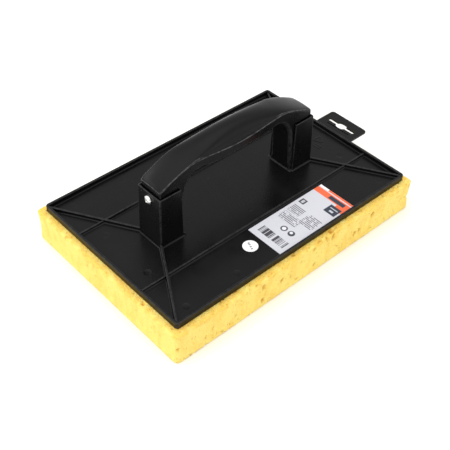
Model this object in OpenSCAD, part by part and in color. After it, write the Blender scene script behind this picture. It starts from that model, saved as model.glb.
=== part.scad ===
// Sponge float: a thick sponge glued under a moulded plastic plate, with a two-piece bow handle
// screwed into two sockets that are moulded with the plate.
// Frame: the origin is the centre of the sponge's working face. +X points to the hang tab,
// +Z up. All sizes are in millimetres.

/* [Plate] */
// Length of the plate along X
plate_l = 270; // [240:1:340]
// Width of the plate along Y
plate_w = 180; // [150:1:240]
// Corner radius of the plate
plate_corner_r = 3; // [1:0.5:8]
// Thickness of the plate's sheet
sheet_t = 1.6; // [1.2:0.1:3]
// Height of the rim above the plate's underside
rim_h = 6.4; // [4:0.1:10]
// Width of the rim
rim_w = 2.5; // [1.5:0.1:5]

/* [Sponge] */
// How far the sponge stands out past the plate on each side
sponge_overhang = 6.5; // [0:0.5:15]
// Thickness of the sponge
sponge_t = 32; // [15:1:50]
// Corner radius of the sponge
sponge_corner_r = 4; // [1:0.5:10]
// Thickness of the glue between sponge and plate
glue_t = 0.4; // [0.2:0.1:1]
// How far the glue stays back from the plate's edge
glue_inset = 2; // [0.5:0.5:10]

/* [Ribs] */
// Distance of each long rib from the middle of the plate, at most
long_rib_y = 42.7; // [30:0.1:55]
// Thickness of the long ribs
long_rib_w = 1.6; // [1:0.1:4]
// Height of the long ribs above the sheet
long_rib_h = 2.5; // [1:0.1:5]
// Thickness of the diagonal ribs
cross_rib_w = 2; // [1:0.1:4]
// Height of the diagonal ribs above the sheet
cross_rib_h = 3.5; // [1:0.1:5]

/* [Handle sockets] */
// Distance from the middle of the plate to a socket's end face, at its top
socket_x = 88.5; // [80:0.5:100]
// Height of the sockets above the plate's underside
socket_h = 53; // [45:0.5:60]
// Wall of a socket at its top
socket_wall = 2.1; // [1.5:0.1:3]
// How much a socket's end face leans outwards from top to foot
socket_flare = 1.4; // [0.2:0.1:2]
// How much a socket's side walls lean outwards from top to foot
side_flare = 0.5; // [0.2:0.1:2]
// Depth of a socket's side walls, from its end face towards the middle, at its top
socket_depth = 22.5; // [16:0.5:28]
// How much deeper the side walls are at their foot
socket_foot_depth = 1; // [0:0.1:4]
// Size of the bevel round a socket's foot
foot_bevel = 1; // [0.4:0.1:2]
// Height of the sill across a socket's open side, above the sheet
sill_h = 1; // [0.4:0.1:2]
// Width of the sill
sill_w = 1.2; // [0.8:0.1:2]

/* [Handle] */
// Thickness of the handle's frame, across the plate
frame_w = 24.6; // [20:0.2:30]
// Gap between a leg and its socket, on each side
leg_gap = 0.15; // [0.05:0.05:0.5]
// Height of the grip's crown above the plate's underside
crown_h = 82.8; // [78:0.1:100]
// Height of the grip's ends above the plate's underside, at their top
crown_end_h = 60.4; // [60:0.1:66]
// Roundness of the crown: higher is flatter in the middle
crown_power = 2; // [1.8:0.1:4]
// Distance from the middle to each end of the grip
grip_end_x = 87; // [80:0.5:95]
// Height of the crease between the two halves of the grip, in the middle
crease_mid_h = 67.6; // [64:0.1:72]
// Height of the crease where it is highest
crease_top_h = 71.2; // [68:0.1:74]
// Height of the crease at the grip's ends
crease_end_h = 57.5; // [56.5:0.1:58.5]
// Distance from the middle to where the crease is highest
crease_top_x = 50; // [40:1:60]
// Height of the finger arch in the middle, above the plate's underside
arch_mid_h = 57.6; // [54:0.1:62]
// Height of the finger arch where it is highest
arch_top_h = 61.5; // [58:0.1:64]
// Distance from the middle to where the finger arch is highest
arch_top_x = 44; // [36:1:50]
// Distance from the middle to the arch's side, where its curve ends
arch_side_x = 62; // [56:0.5:66]
// Height where the arch's curve ends and the straight leg starts
arch_side_h = 36; // [30:1:45]
// Distance from the middle to the leg's inner face at its foot
leg_foot_x = 64; // [60:0.5:68]
// How far the grip shell overhangs the frame on each side, in the middle
grip_over = 1.7; // [0.8:0.1:5]
// How far it overhangs at its ends
grip_end_over = 0.4; // [0.2:0.1:3]
// Wall of the grip shell
shell_wall = 2.2; // [1.5:0.1:3]
// Wall of the handle's frame
frame_wall = 2.5; // [1.5:0.1:4]

/* [Screws] */
// Height of the screws above the plate's underside
screw_z = 46; // [42:0.5:49]
// Thread diameter of the screws
screw_d = 4; // [3:0.1:5]
// Length of the screws under the head
screw_l = 16; // [10:1:18]
// Head diameter of the screws
screw_head_d = 8; // [6:0.1:10]
// Head height of the screws
screw_head_h = 2.4; // [1.5:0.1:3]
// Extra diameter of the pilot hole, which is cut to the thread's outside
pilot_play = 0.04; // [0.02:0.01:0.2]
// Extra diameter of the clearance hole in the socket
hole_play = 0.5; // [0.2:0.1:1]

/* [Hang tab] */
// How far the hang tab stands out past the plate
tab_l = 26; // [20:0.5:40]
// Width of the hang tab
tab_w = 45; // [40:0.5:60]
// Thickness of the hang tab
tab_t = 2; // [1:0.1:3]
// Height of the tab's lower face above the plate's underside
tab_z = 2; // [0:0.1:4]
// Corner radius of the hang tab
tab_corner_r = 3.5; // [1:0.5:8]
// Distance from the plate's edge to the middle of the hang hole
hang_x = 13.5; // [11:0.5:18]
// Length of the hang hole's slot
hang_slot_l = 32; // [26:0.5:36]
// Width of the hang hole's slot
hang_slot_w = 3.4; // [2:0.1:5]
// Length of the bulge in the middle of the hang hole
hang_bulge_l = 11; // [8:0.5:14]
// Width of the bulge in the middle of the hang hole
hang_bulge_w = 8.6; // [6:0.1:10]
// Distance from the plate's edge to the tear-off groove
groove_x = 7.8; // [3:0.1:9]
// Width of the tear-off groove
groove_w = 1.6; // [0.8:0.1:2]
// Length of the tear-off groove
groove_l = 28; // [20:0.5:36]

/* [Label and sticker] */
// Length of the product label
label_l = 91; // [60:1:110]
// Width of the product label
label_w = 39; // [25:1:42]
// Distance of the label's middle from the plate's middle, along X
label_x = 26; // [10:1:40]
// Gap between the label and the rim
label_rim_gap = 2.5; // [0.5:0.5:6]
// Thickness of the label
label_t = 0.2; // [0.1:0.05:0.3]
// Diameter of the round sticker
sticker_d = 13.6; // [10:0.2:20]
// Gap between the sticker and the label
sticker_gap = 5.2; // [1:0.2:20]
// How far the label and the sticker float above the sheet, their glue
paper_gap = 0.05; // [0.02:0.01:0.1]

/* [Moulding marks] */
// Diameter of the round ejector marks
mark_d = 7; // [4:0.5:10]
// Depth of the ejector marks
mark_depth = 0.25; // [0.1:0.05:0.5]
// Distance of the outer ejector marks from the plate's edges
mark_edge = 13; // [8:1:20]

/* [Hidden] */
$fn = 48;

// Height of the plate's underside and of the sheet's upper face
plate_z = sponge_t + glue_t;
floor_z = plate_z + sheet_t;

// Socket: inner pocket and outer walls, measured from the plate's underside
pocket_half_w = frame_w / 2 + leg_gap;
socket_half_w = pocket_half_w + socket_wall;
pocket_x = socket_x - socket_wall;
leg_out_x = pocket_x - leg_gap;
leg_floor_gap = 0.2;

// The long ribs give way to the label where the plate is narrow
rib_y = min(long_rib_y, plate_w / 2 - rim_w - 2 * label_rim_gap - label_w - long_rib_w / 2);

// Grip: number of slices along the bow and across the dome
slices = 40;
dome_steps = 16;
dome_power = 2.1;
rim_gap = 0.05;
seam_h = 1.2;
lip_h = 1.5;
lip_play = 0.3;
lip_half_l = 42;
inner_taper = 0.95;
cavity_end_x = 52;

black = [0.07, 0.07, 0.075];
soft_black = [0.11, 0.11, 0.115];
yellow = [0.98, 0.85, 0.42];
amber = [0.85, 0.7, 0.4];
zinc = [0.78, 0.78, 0.76];
paper = [0.9, 0.9, 0.94];

// A rectangle with true round corners, centred
module round_rect(l, w, r) {
    square([l - 2 * r, w], center = true);
    square([l, w - 2 * r], center = true);
    for (sx = [-1, 1], sy = [-1, 1])
        translate([sx * (l / 2 - r), sy * (w / 2 - r)])
            circle(r);
}

// A slot with round ends, its length along Y, centred
module round_slot(l, w) {
    square([w, l - w], center = true);
    for (s = [-1, 1])
        translate([0, s * (l - w) / 2])
            circle(d = w);
}

// The same thing at both ends of the tool
module both_ends() {
    children();
    mirror([1, 0, 0])
        children();
}

// ---- Sponge and glue ----

module sponge_pad() {
    color(yellow)
        linear_extrude(sponge_t)
            round_rect(plate_l + 2 * sponge_overhang, plate_w + 2 * sponge_overhang, sponge_corner_r);
}

module glue_layer() {
    color(amber)
        translate([0, 0, sponge_t])
            linear_extrude(glue_t)
                round_rect(plate_l - 2 * glue_inset, plate_w - 2 * glue_inset, plate_corner_r);
}

// ---- Plate ----

module sheet_and_rim() {
    difference() {
        linear_extrude(rim_h)
            round_rect(plate_l, plate_w, plate_corner_r);
        translate([0, 0, sheet_t])
            linear_extrude(rim_h)
                round_rect(plate_l - 2 * rim_w, plate_w - 2 * rim_w, max(plate_corner_r - rim_w, 0.5));
    }
}

module long_ribs() {
    for (s = [-1, 1])
        translate([-plate_l / 2 + rim_w / 2, s * rib_y - long_rib_w / 2, sheet_t / 2])
            cube([plate_l - rim_w, long_rib_w, sheet_t / 2 + long_rib_h]);
}

// A diagonal rib from a socket's corner to the plate's corner
module cross_rib() {
    from = [socket_x + socket_flare - 1, socket_half_w + side_flare - 1];
    to = [plate_l / 2 - rim_w / 2, plate_w / 2 - rim_w / 2];
    run = to - from;
    translate([from[0], from[1], sheet_t / 2])
        rotate(atan2(run[1], run[0]))
            translate([0, -cross_rib_w / 2, 0])
                cube([norm(run), cross_rib_w, sheet_t / 2 + cross_rib_h]);
}

module cross_ribs() {
    both_ends() {
        cross_rib();
        mirror([0, 1, 0])
            cross_rib();
    }
}

// The outside of a socket, seen from the side, as an outline in X and Z
function socket_side() = [
    [socket_x - socket_depth - socket_foot_depth, sheet_t / 2],
    [socket_x + socket_flare, sheet_t / 2],
    [socket_x, socket_h],
    [socket_x - socket_depth, socket_h]
];

// The outside of a socket, seen from the end, as an outline in Y and Z
function socket_front() = [
    [-socket_half_w - side_flare, sheet_t / 2],
    [socket_half_w + side_flare, sheet_t / 2],
    [socket_half_w, socket_h],
    [-socket_half_w, socket_h]
];

// The bevelled foot of a socket, as the same two outlines
function foot_side() = [
    [socket_x - socket_depth - socket_foot_depth - foot_bevel, sheet_t],
    [socket_x + socket_flare + foot_bevel, sheet_t],
    [socket_x + socket_flare, sheet_t + foot_bevel],
    [socket_x - socket_depth - socket_foot_depth, sheet_t + foot_bevel]
];
function foot_front() = [
    [-socket_half_w - side_flare - foot_bevel, sheet_t],
    [socket_half_w + side_flare + foot_bevel, sheet_t],
    [socket_half_w + side_flare, sheet_t + foot_bevel],
    [-socket_half_w - side_flare, sheet_t + foot_bevel]
];

// The solid that two outlines share: one seen from the side and one seen from the end
module two_way(side, front) {
    reach = socket_x + 2 * foot_bevel + 10;
    intersection() {
        translate([0, reach / 2, 0])
            rotate([90, 0, 0])
                linear_extrude(reach)
                    polygon(side);
        rotate([90, 0, 90])
            linear_extrude(reach)
                polygon(front);
    }
}

module socket() {
    difference() {
        union() {
            two_way(socket_side(), socket_front());
            two_way(foot_side(), foot_front());
        }
        translate([0, -pocket_half_w, sheet_t])
            cube([pocket_x, 2 * pocket_half_w, socket_h]);
        translate([pocket_x - 1, 0, screw_z])
            rotate([0, 90, 0])
                cylinder(h = socket_wall + 4, d = screw_d + hole_play);
    }
}

// A low sill on the sheet in front of each leg
module sill() {
    sill_half_w = socket_half_w + side_flare;
    translate([leg_foot_x - leg_gap - sill_w, -sill_half_w, sheet_t / 2])
        cube([sill_w, 2 * sill_half_w, sheet_t / 2 + sill_h]);
}

// The hang tab, with its hang hole and its tear-off groove
module hang_tab() {
    root = 1;
    groove_gap = 2;
    groove_floor = 0.4;
    difference() {
        translate([plate_l / 2 - root, 0, tab_z])
            linear_extrude(tab_t)
                difference() {
                    translate([(tab_l + root) / 2, 0])
                        round_rect(tab_l + root, tab_w, tab_corner_r);
                    translate([hang_x + root, 0])
                        hang_hole();
                }
        for (s = [-1, 1])
            translate([plate_l / 2 + groove_x, s * (groove_l + groove_gap) / 4, tab_z + groove_floor])
                linear_extrude(tab_t)
                    round_slot((groove_l - groove_gap) / 2, groove_w);
    }
    translate([plate_l / 2 - root, -tab_w / 2, tab_z])
        cube([root + tab_corner_r, tab_w, tab_t]);
}

module hang_hole() {
    round_slot(hang_slot_l, hang_slot_w);
    intersection() {
        circle(d = hang_bulge_l);
        square([hang_bulge_w, hang_bulge_l], center = true);
    }
}

module ejector_marks() {
    outer = [plate_l / 2 - mark_edge - mark_d, plate_w / 2 - mark_edge];
    middle = [plate_l / 2 - mark_edge - mark_d, (rib_y + socket_half_w) / 2];
    inner = [(plate_l / 2 - mark_edge) / 2, plate_w / 2 - mark_edge];
    for (p = [outer, middle, inner], sx = [-1, 1], sy = [-1, 1])
        translate([sx * p[0], sy * p[1], sheet_t - mark_depth])
            cylinder(h = 1, d = mark_d);
    for (sy = [-1, 1])
        translate([0, sy * middle[1], sheet_t - mark_depth])
            cylinder(h = 1, d = mark_d / 2);
}

module base_plate() {
    color(black)
        translate([0, 0, plate_z])
            difference() {
                union() {
                    sheet_and_rim();
                    long_ribs();
                    cross_ribs();
                    both_ends() {
                        socket();
                        sill();
                    }
                    hang_tab();
                }
                ejector_marks();
            }
}

// ---- Handle ----

// Height of the grip's crown over the place x
function crown(x) = crown_h - (crown_h - crown_end_h) * pow(min(abs(x) / grip_end_x, 1), crown_power);

// A smooth step from 0 to 1
function ease(t) = (1 - cos(180 * min(max(t, 0), 1))) / 2;

// Height of the crease between the two halves of the grip
function crease(x) = abs(x) < crease_top_x
    ? crease_mid_h + (crease_top_h - crease_mid_h) * ease(abs(x) / crease_top_x)
    : crease_top_h - (crease_top_h - crease_end_h)
        * pow((abs(x) - crease_top_x) / (grip_end_x - crease_top_x), 1.5);

// Height of the finger arch: a low belly in the middle, then an ellipse down to each leg
function arch(x) = abs(x) < arch_top_x
    ? arch_mid_h + (arch_top_h - arch_mid_h) * ease(pow(abs(x) / arch_top_x, 3))
    : arch_side_h + (arch_top_h - arch_side_h)
        * sqrt(max(1 - pow((abs(x) - arch_top_x) / (arch_side_x - arch_top_x), 2), 0));

// Places along the bow, closer together towards the ends
stations = [for (i = [0:slices]) grip_end_x * sin(90 * (2 * i / slices - 1))];

// Places along the finger arch, following its rounded sides
arch_xs = [for (i = [0:slices]) arch_side_x * sin(90 * (2 * i / slices - 1))];

// The frame's outline seen from the side: along the crease, down a leg, under the arch and back
frame_outline = concat(
    [for (x = stations) if (abs(x) < leg_out_x) [x, crease(x)]],
    [[leg_out_x, crease(leg_out_x)], [leg_out_x, sheet_t + leg_floor_gap],
     [leg_foot_x, sheet_t + leg_floor_gap]],
    [for (i = [slices:-1:0]) [arch_xs[i], arch(arch_xs[i])]],
    [[-leg_foot_x, sheet_t + leg_floor_gap], [-leg_out_x, sheet_t + leg_floor_gap],
     [-leg_out_x, crease(leg_out_x)]]
);

// The trough along the bow, open to the grip shell
trough_outline = concat(
    [for (x = stations) if (abs(x) < lip_half_l) [x, crease(x) + lip_h + 5]],
    [for (i = [slices:-1:0]) if (abs(stations[i]) < lip_half_l)
        [stations[i], arch(stations[i]) + frame_wall]]
);

// The lip that locates the grip shell
lip_outline = concat(
    [for (x = stations) if (abs(x) < lip_half_l) [x, crease(x) + lip_h]],
    [for (i = [slices:-1:0]) if (abs(stations[i]) < lip_half_l) [stations[i], crease(stations[i]) - 1]]
);

// Extrudes an outline in X and Z to a width across Y, centred
module across(width) {
    translate([0, width / 2, 0])
        rotate([90, 0, 0])
            linear_extrude(width)
                children();
}

module handle_frame() {
    trough_w = frame_w - 2 * frame_wall;
    lip_half_w = (grip_half(lip_half_l) - shell_wall) * inner_taper - lip_play;
    color(black)
        translate([0, 0, plate_z])
            difference() {
                union() {
                    across(frame_w)
                        polygon(frame_outline);
                    across(2 * lip_half_w)
                        polygon(lip_outline);
                }
                across(trough_w)
                    polygon(trough_outline);
                both_ends()
                    leg_hollows();
            }
}

// The leg's hollow, open at the foot, and the screw's pilot hole
module leg_hollows() {
    hollow_l = leg_out_x - leg_foot_x - 2 * frame_wall;
    hollow_h = screw_z - screw_d / 2 - 2 * frame_wall;
    translate([leg_foot_x + frame_wall, -frame_w / 2 + frame_wall, 0])
        cube([hollow_l, frame_w - 2 * frame_wall, hollow_h]);
    translate([socket_x - screw_l - 1, 0, screw_z])
        rotate([0, 90, 0])
            cylinder(h = screw_l + 2, d = screw_d + pilot_play);
}

// Half width of the grip shell over the place x
function grip_half(x) =
    frame_w / 2 + grip_end_over + (grip_over - grip_end_over) * (1 - pow(abs(x) / grip_end_x, 2));

// An arch from one side to the other: half its width, the height of its foot, its rise, and +1 to
// run towards +Y or -1 to run back
function dome_arch(x, half, foot, rise, way) =
    [for (j = [0:dome_steps])
        let (a = 180 * j / dome_steps, c = -way * cos(a))
        [x, half * sign(c) * pow(abs(c), 2 / dome_power), foot + rise * pow(sin(a), 2 / dome_power)]];

// One slice of the grip shell: over the dome, then back along the inside. Near the ends the inside
// lies flat on the crease, so the shell is solid there.
function shell_slice(x) =
    let (
        half = grip_half(x),
        foot = crease(x) + rim_gap,
        hollow = abs(x) < cavity_end_x ? crown(x) - shell_wall - foot : 0
    )
    concat(
        [[x, -half, foot]],
        dome_arch(x, half, foot + seam_h, crown(x) - foot - seam_h, 1),
        [[x, half, foot]],
        dome_arch(x, half - shell_wall, foot, hollow, -1)
    );

// The flat end of the shell, as strips from the dome's edge down to the crease
function shell_end() =
    let (d = dome_steps)
    concat(
        [[0, 1, 2 * d + 3], [d + 1, d + 2, d + 3]],
        [for (j = [0:d - 1]) each [[j + 1, j + 2, 2 * d + 2 - j], [j + 1, 2 * d + 2 - j, 2 * d + 3 - j]]]
    );

module grip_shell() {
    rows = [for (x = stations) shell_slice(x)];
    n = len(rows[0]);
    m = len(rows);
    last = (m - 1) * n;
    color(soft_black)
        translate([0, 0, plate_z])
            polyhedron(
                points = [for (row = rows) each row],
                faces = concat(
                    [for (i = [0:m - 2], j = [0:n - 1])
                        let (k = (j + 1) % n, a = i * n)
                        each [[a + j, a + n + j, a + n + k], [a + j, a + n + k, a + k]]],
                    shell_end(),
                    [for (f = shell_end()) [last + f[2], last + f[1], last + f[0]]]
                )
            );
}

// ---- Screws ----

// A self-tapping screw along +X, its head's underside at the origin and its tip towards -X
module screw() {
    recess_w = screw_head_d * 0.14;
    recess_l = screw_head_d * 0.55;
    tip_l = 2;
    difference() {
        rotate([0, 90, 0])
            rotate_extrude()
                polygon([
                    [0, -screw_l],
                    [screw_d * 0.15, -screw_l],
                    [screw_d / 2, -screw_l + tip_l],
                    [screw_d / 2, 0],
                    [screw_head_d / 2, 0],
                    [screw_head_d / 2, screw_head_h * 0.5],
                    [screw_head_d * 0.42, screw_head_h * 0.8],
                    [screw_head_d * 0.28, screw_head_h],
                    [0, screw_head_h]
                ]);
        for (turn = [0, 90])
            rotate([turn, 0, 0])
                translate([screw_head_h * 0.45, -recess_l / 2, -recess_w / 2])
                    cube([screw_head_h, recess_l, recess_w]);
    }
}

// The screw in the +X socket, its head against the leaning end face
module placed_screw() {
    head_gap = 0.02;
    drop = socket_h - screw_z + screw_head_d / 2;
    face_x = socket_x + socket_flare * drop / (socket_h - sheet_t / 2);
    translate([face_x + head_gap, 0, plate_z + screw_z])
        screw();
}

module front_screw() {
    color(zinc)
        mirror([1, 0, 0])
            placed_screw();
}

module rear_screw() {
    color(zinc)
        placed_screw();
}

// ---- Label and sticker ----

label_y = -plate_w / 2 + rim_w + label_rim_gap + label_w / 2;

module product_label() {
    color(paper)
        translate([label_x, label_y, floor_z + paper_gap])
            linear_extrude(label_t)
                square([label_l, label_w], center = true);
}

module round_sticker() {
    color("white")
        translate([label_x - label_l / 2 - sticker_gap - sticker_d / 2, label_y + 4, floor_z + paper_gap])
            cylinder(h = label_t, d = sticker_d);
}

sponge_pad();
glue_layer();
base_plate();
handle_frame();
grip_shell();
front_screw();
rear_screw();
product_label();
round_sticker();
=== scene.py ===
"""A sponge float: a yellow sponge glued under a black moulded plate, with a two-piece bow handle."""
import math
import bpy
import bmesh
from mathutils import Matrix, Vector


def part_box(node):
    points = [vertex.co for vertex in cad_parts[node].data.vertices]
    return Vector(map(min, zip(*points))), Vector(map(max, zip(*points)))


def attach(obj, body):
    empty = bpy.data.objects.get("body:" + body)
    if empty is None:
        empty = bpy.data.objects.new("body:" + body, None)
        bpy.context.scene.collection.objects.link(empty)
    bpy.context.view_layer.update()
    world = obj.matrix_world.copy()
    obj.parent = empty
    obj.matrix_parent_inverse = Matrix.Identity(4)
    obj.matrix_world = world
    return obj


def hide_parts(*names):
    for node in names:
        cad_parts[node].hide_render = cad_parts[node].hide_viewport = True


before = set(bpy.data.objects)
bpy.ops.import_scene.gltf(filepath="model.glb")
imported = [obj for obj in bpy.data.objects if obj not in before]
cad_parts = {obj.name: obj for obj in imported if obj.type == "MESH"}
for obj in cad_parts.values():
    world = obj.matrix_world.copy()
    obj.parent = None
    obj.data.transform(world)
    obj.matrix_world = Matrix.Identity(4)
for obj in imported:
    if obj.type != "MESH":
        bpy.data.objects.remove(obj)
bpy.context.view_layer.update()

MM = 0.001

# Where the plate lies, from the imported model
plate_low, plate_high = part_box("base_plate")
sponge_low, sponge_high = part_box("sponge_pad")
label_low, label_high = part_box("product_label")
sticker_low, sticker_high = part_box("round_sticker")
underside = plate_low[2] / MM

# Sizes in millimetres, heights from the plate's underside
plate_half_l = -plate_low[0] / MM
plate_half_w = plate_high[1] / MM
sheet_t = 1.6
rim_h = 6.4
rim_w = 2.5
plate_corner_r = 3.0

long_rib_y, long_rib_w, long_rib_h = 42.7, 1.6, 2.5
cross_rib_w, cross_rib_h = 2.0, 3.5
sill_w, sill_h = 1.2, 1.0

socket_x, socket_h, socket_wall = 88.5, 53.0, 2.1
socket_flare, side_flare = 1.4, 0.5
socket_depth, socket_foot_depth = 22.5, 1.0
socket_fillet = 1.6

frame_w = 24.6
leg_gap = 0.15
pocket_half_w = frame_w / 2 + leg_gap
pocket_x = socket_x - socket_wall
socket_half_w = pocket_half_w + socket_wall
leg_out_x = pocket_x - leg_gap
leg_foot_h = sheet_t + 0.2

crown_h, crown_end_h, crown_power, grip_end_x = 82.8, 60.4, 2.0, 87.0
crease_mid_h, crease_top_h, crease_end_h, crease_top_x = 67.6, 71.2, 57.5, 50.0
arch_mid_h, arch_top_h, arch_top_x = 57.6, 61.5, 44.0
arch_side_x, arch_side_h, leg_foot_x = 62.0, 36.0, 64.0
grip_half_w, grip_end_half_w, dome_power = frame_w / 2 + 1.7, frame_w / 2 + 0.4, 2.1

screw_z, screw_d, screw_l, screw_head_d, screw_head_h = 46.0, 4.0, 16.0, 8.0, 2.4

tab_l, tab_w, tab_t, tab_z, tab_corner_r = 26.0, 45.0, 2.0, 2.0, 3.5
hang_x, hang_slot_l, hang_slot_w = 13.5, 32.0, 3.4
hang_bulge_l, hang_bulge_w = 11.0, 8.6
groove_x, groove_w, groove_l, groove_gap, groove_floor = 7.8, 1.6, 28.0, 2.0, 0.4
mark_d, mark_depth, mark_edge = 7.0, 0.25, 13.0


# ---- Node helpers ----

def add(tree, kind, at=None, **settings):
    """A node of this kind. Settings are its own properties; at gives its inputs, by number or name."""
    made = tree.nodes.new(kind)
    for key, value in settings.items():
        setattr(made, key, value)
    for key, value in (at or {}).items():
        if hasattr(value, "is_output"):
            tree.links.new(value, made.inputs[key])
        else:
            made.inputs[key].default_value = value
    return made


def maths(tree, operation, *values, clamp=False):
    made = add(tree, "ShaderNodeMath", dict(enumerate(values)), operation=operation, use_clamp=clamp)
    return made.outputs[0]


def ramp(tree, value, low, high, out_low=0.0, out_high=1.0, smooth=False):
    """value from low to high becomes out_low to out_high."""
    made = add(tree, "ShaderNodeMapRange",
               {"Value": value, "From Min": low, "From Max": high, "To Min": out_low, "To Max": out_high},
               interpolation_type="SMOOTHSTEP" if smooth else "LINEAR")
    return made.outputs["Result"]


def blend_colour(tree, factor, first, second):
    """first where the factor is 0, second where it is 1."""
    return add(tree, "ShaderNodeMix", {0: factor, 6: first, 7: second}, data_type="RGBA").outputs[2]


def new_group(name, inputs, outputs, kind="ShaderNodeTree"):
    """A node group with named sockets; returns it with its input and output nodes."""
    group = bpy.data.node_groups.new(name, kind)
    for label, socket, value in inputs:
        made = group.interface.new_socket(label, in_out="INPUT", socket_type="NodeSocket" + socket)
        if value is not None:
            made.default_value = value
    for label, socket in outputs:
        group.interface.new_socket(label, in_out="OUTPUT", socket_type="NodeSocket" + socket)
    return group, group.nodes.new("NodeGroupInput").outputs, group.nodes.new("NodeGroupOutput").inputs


def hand_out(tree, geometry, material, result):
    """Makes the geometry real, gives it the material and hands it out of the tree."""
    real = add(tree, "GeometryNodeRealizeInstances", {"Geometry": geometry})
    painted = add(tree, "GeometryNodeSetMaterial", {"Geometry": real.outputs[0], "Material": material})
    tree.links.new(painted.outputs[0], result)
    return tree


def in_millimetres(tree, place, centre):
    """The place, counted in millimetres from the centre."""
    return add(tree, "ShaderNodeMapping", {"Vector": place, "Location": tuple(-v / MM for v in centre),
                                           "Scale": (1 / MM, 1 / MM, 1 / MM)}).outputs[0]


# ---- Shared finishes ----

def make_grain_group():
    """Fine leathery texture of a spark-eroded mould, with broad soft unevenness."""
    group, given, result = new_group(
        "Moulded grain",
        [("Place", "Vector", None), ("Grain size", "Float", 0.0006), ("Unevenness", "Float", 0.3)],
        [("Height", "Float"), ("Patch", "Float")])
    scale = maths(group, "DIVIDE", 1.0, given["Grain size"])
    cells = add(group, "ShaderNodeTexVoronoi", {"Vector": given["Place"], "Scale": scale},
                feature="SMOOTH_F1")
    fine = add(group, "ShaderNodeTexNoise", {"Vector": given["Place"], "Scale": scale, "Detail": 3.0})
    broad = add(group, "ShaderNodeTexNoise", {"Vector": given["Place"], "Scale": 45.0, "Detail": 2.0})
    height = maths(group, "ADD", maths(group, "MULTIPLY", cells.outputs["Distance"], 0.6),
                   fine.outputs[0])
    height = maths(group, "ADD", height,
                   maths(group, "MULTIPLY", broad.outputs[0], given["Unevenness"]))
    group.links.new(height, result["Height"])
    group.links.new(broad.outputs[0], result["Patch"])
    return group


def make_wear_group():
    """Rubbed edges that also carry a painted highlight: the raised edges of a piece, broken up by noise,
    and fine hand scuffs.
    """
    group, given, result = new_group(
        "Edge wear and highlight",
        [("Place", "Vector", None), ("Edge", "Float", 0.0), ("Amount", "Float", 0.5)],
        [("Rubbed", "Float"), ("Scuffs", "Float")])
    chips = add(group, "ShaderNodeTexNoise", {"Vector": given["Place"], "Scale": 320.0, "Detail": 4.0})
    rubbed_and_highlight = maths(group, "MULTIPLY", given["Edge"], ramp(group, chips.outputs[0], 0.25, 0.6))
    group.links.new(maths(group, "MULTIPLY", rubbed_and_highlight, given["Amount"], clamp=True), result["Rubbed"])
    stretched = add(group, "ShaderNodeMapping", {"Vector": given["Place"], "Rotation": (0.0, 0.0, 0.6),
                                                 "Scale": (30.0, 900.0, 200.0)})
    lines = add(group, "ShaderNodeTexNoise", {"Vector": stretched.outputs[0], "Scale": 1.0,
                                              "Detail": 2.0})
    group.links.new(ramp(group, lines.outputs[0], 0.66, 0.8), result["Scuffs"])
    return group


def make_dust_group():
    """Pale dust: small specks, more of them on faces that look up."""
    group, given, result = new_group(
        "Pale dust", [("Place", "Vector", None), ("Amount", "Float", 0.3)], [("Mask", "Float")])
    facing = add(group, "ShaderNodeSeparateXYZ", {0: add(group, "ShaderNodeNewGeometry").outputs["Normal"]})
    up = ramp(group, facing.outputs[2], 0.1, 1.0, 0.15, 1.0)
    specks = add(group, "ShaderNodeTexNoise", {"Vector": given["Place"], "Scale": 700.0, "Detail": 2.0})
    film = add(group, "ShaderNodeTexNoise", {"Vector": given["Place"], "Scale": 24.0, "Detail": 5.0})
    mask = maths(group, "MULTIPLY", ramp(group, specks.outputs[0], 0.62, 0.78),
                 ramp(group, film.outputs[0], 0.4, 0.7))
    mask = maths(group, "ADD", mask, ramp(group, film.outputs[0], 0.45, 0.9, 0.0, 0.35))
    mask = maths(group, "MULTIPLY", mask, up)
    group.links.new(maths(group, "MULTIPLY", mask, given["Amount"], clamp=True), result["Mask"])
    return group


grain_group = make_grain_group()
wear_and_highlight_group = make_wear_group()
dust_group = make_dust_group()


def new_material(name, colour, roughness, **constants):
    """A material with its Principled shader; the constants are set on the shader itself."""
    material = bpy.data.materials.new(name)
    material.use_nodes = True
    material.diffuse_color = (*colour, 1.0)
    tree = material.node_tree
    shader = tree.nodes["Principled BSDF"]
    shader.inputs["Base Color"].default_value = (*colour, 1.0)
    shader.inputs["Roughness"].default_value = roughness
    for key, value in constants.items():
        shader.inputs[key.replace("_", " ")].default_value = value
    place = add(tree, "ShaderNodeTexCoord").outputs["Object"]
    return material, tree, shader, place


def use(tree, group, **values):
    """Places a shared finish in a material, with its own values."""
    named = {key.replace("_", " "): value for key, value in values.items()}
    return add(tree, "ShaderNodeGroup", named, node_tree=group).outputs


def give_bump(tree, shader, height, distance, strength=1.0):
    bump = add(tree, "ShaderNodeBump", {"Height": height, "Distance": distance, "Strength": strength})
    tree.links.new(bump.outputs[0], shader.inputs["Normal"])


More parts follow.
